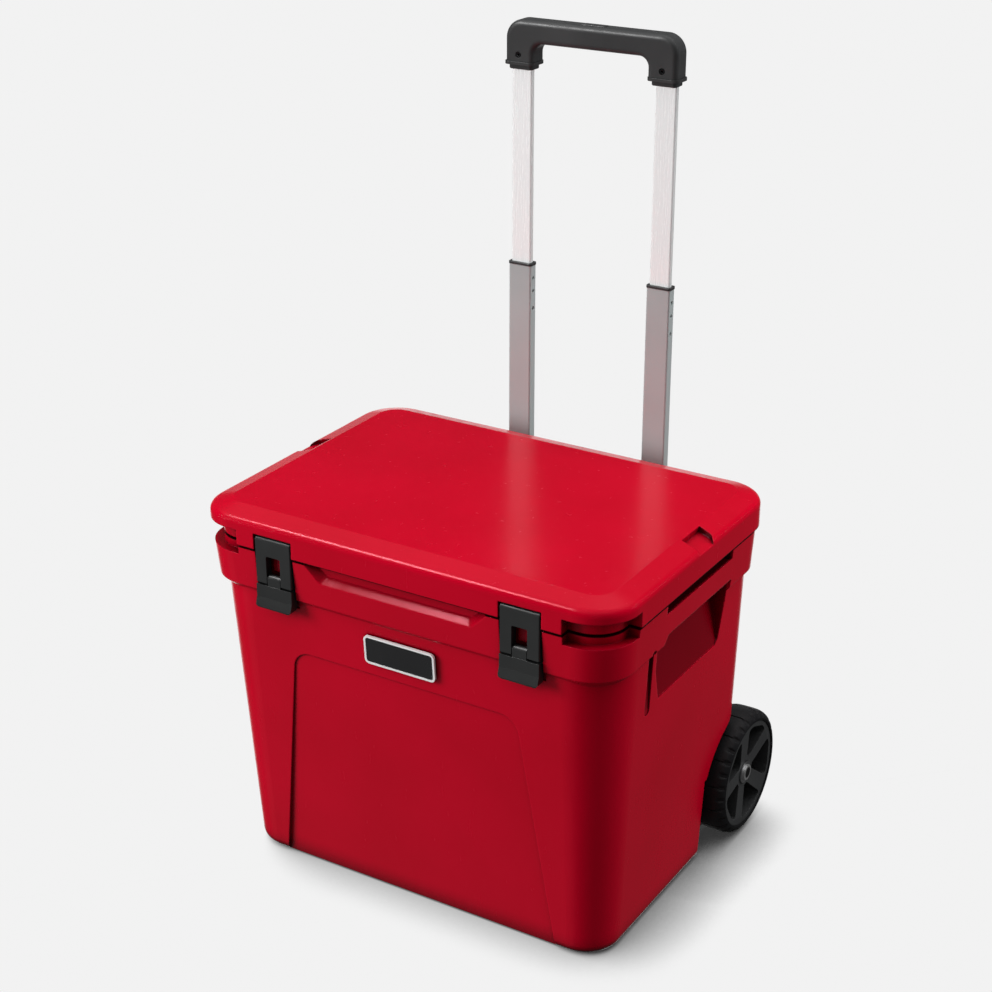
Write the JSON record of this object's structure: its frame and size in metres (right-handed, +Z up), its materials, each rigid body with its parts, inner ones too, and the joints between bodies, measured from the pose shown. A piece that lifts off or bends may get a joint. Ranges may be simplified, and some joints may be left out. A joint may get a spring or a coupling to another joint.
{
  "type": "wheeled hard cooler chest",
  "caption": "Insulated hard-sided cooler chest with a rear-hinged lid, front latches, rear wheels on an axle and a two-stage telescoping pull handle.",
  "frame": {"origin": "on the floor, at the middle of the flat underside, under the middle of the lid", "axes": "+Z up, +Y to the back where the wheels and handle are, +X to the right seen from the front"},
  "size_m": [0.596, 0.5002, 1.042],
  "materials": {
    "red_shell": "semi-gloss moulded polyethylene",
    "foam_core": "rigid insulating foam",
    "liner_white": "smooth food-safe liner",
    "black_plastic": "fine moulded texture",
    "latch_plastic": "satin moulded",
    "seal_rubber": "soft seal",
    "tyre": "solid tyre",
    "steel": "bright zinc",
    "satin_aluminium": "satin anodised",
    "bright_aluminium": "polished anodised",
    "badge_white": "gloss",
    "badge_black": "gloss"
  },
  "bodies": {
    "cooler_body": {"body_shell": "red_shell", "body_liner": "liner_white", "body_foam": "foam_core", "drain_bushing": "black_plastic", "badge_border": "badge_white", "badge_plate": "badge_black", "axle": "steel", "axle_washers": "steel", "axle_caps": "black_plastic", "handle_cover": "black_plastic", "guide_bracket_lower": "steel", "guide_bracket_upper": "steel", "bracket_screws": "steel", "guide_tube_left": "steel", "guide_tube_right": "steel", "hinge_pin_left": "steel", "hinge_pin_right": "steel", "latch_keeper_left": "latch_plastic", "latch_keeper_right": "latch_plastic"},
    "lid": {"lid_shell": "red_shell", "lid_liner": "liner_white", "lid_foam": "foam_core", "lid_gasket": "seal_rubber", "latch_pin_left": "steel", "latch_pin_right": "steel"},
    "handle_lower": {"lower_tube_left": "satin_aluminium", "lower_tube_right": "satin_aluminium", "lower_collar_left": "black_plastic", "lower_collar_right": "black_plastic", "lower_plug_left": "black_plastic", "lower_plug_right": "black_plastic"},
    "handle_upper": {"upper_tube_left": "bright_aluminium", "upper_tube_right": "bright_aluminium", "upper_plug_left": "black_plastic", "upper_plug_right": "black_plastic", "lock_pins": "steel", "grip_front": "black_plastic", "grip_rear": "black_plastic", "grip_screws": "steel", "grip_collar_left": "black_plastic", "grip_collar_right": "black_plastic", "button_spring": "steel"},
    "button": {"release_button": "black_plastic", "release_slider": "black_plastic", "push_rods": "steel"},
    "drain": {"drain_plug": "black_plastic", "drain_gasket": "seal_rubber"},
    "latch_left": {"latch_frame_left": "latch_plastic", "lever_pin_left": "steel"},
    "latch_lever_left": {"lever_left": "latch_plastic"},
    "wheel_left": {"wheel_rim_left": "black_plastic", "tyre_left": "tyre", "wheel_bush_left": "black_plastic"},
    "latch_right": {"latch_frame_right": "latch_plastic", "lever_pin_right": "steel"},
    "latch_lever_right": {"lever_right": "latch_plastic"},
    "wheel_right": {"wheel_rim_right": "black_plastic", "tyre_right": "tyre", "wheel_bush_right": "black_plastic"}
  },
  "joints": [
    {"name": "lid_hinge", "type": "hinge", "parent": "cooler_body", "child": "lid", "pos_m": [0, 0.208, 0.47], "axis": [-1, 0, 0], "range_deg": [0, 90]},
    {"name": "handle_lower_slide", "type": "slide", "parent": "cooler_body", "child": "handle_lower", "axis": [0, 0, 1], "range_m": [-0.24, 0]},
    {"name": "handle_upper_slide", "type": "slide", "parent": "handle_lower", "child": "handle_upper", "axis": [0, 0, 1], "range_m": [-0.25, 0]},
    {"name": "button_press", "type": "slide", "parent": "handle_upper", "child": "button", "axis": [0, 0, -1], "range_m": [0, 0.004], "stiffness_N_per_m": 600, "springref_m": -0.006, "deforming": ["button_spring"]},
    {"name": "drain_turn", "type": "hinge", "parent": "cooler_body", "child": "drain", "pos_m": [-0.281, -0.04, 0.078], "axis": [-1, 0, 0], "range_deg": [0, 720]},
    {"name": "latch_left_swing", "type": "hinge", "parent": "lid", "child": "latch_left", "pos_m": [-0.1745, -0.2065, 0.474], "axis": [-1, 0, 0], "range_deg": [0, 100]},
    {"name": "lever_left_pull", "type": "hinge", "parent": "latch_left", "child": "latch_lever_left", "pos_m": [-0.1745, -0.2075, 0.426], "axis": [-1, 0, 0], "range_deg": [0, 70]},
    {"name": "wheel_left_spin", "type": "hinge", "parent": "cooler_body", "child": "wheel_left", "pos_m": [-0.2685, 0.197, 0.086], "axis": [1, 0, 0], "continuous": true},
    {"name": "latch_right_swing", "type": "hinge", "parent": "lid", "child": "latch_right", "pos_m": [0.1745, -0.2065, 0.474], "axis": [-1, 0, 0], "range_deg": [0, 100]},
    {"name": "lever_right_pull", "type": "hinge", "parent": "latch_right", "child": "latch_lever_right", "pos_m": [0.1745, -0.2075, 0.426], "axis": [-1, 0, 0], "range_deg": [0, 70]},
    {"name": "wheel_right_spin", "type": "hinge", "parent": "cooler_body", "child": "wheel_right", "pos_m": [0.2685, 0.197, 0.086], "axis": [1, 0, 0], "continuous": true}
  ]
}
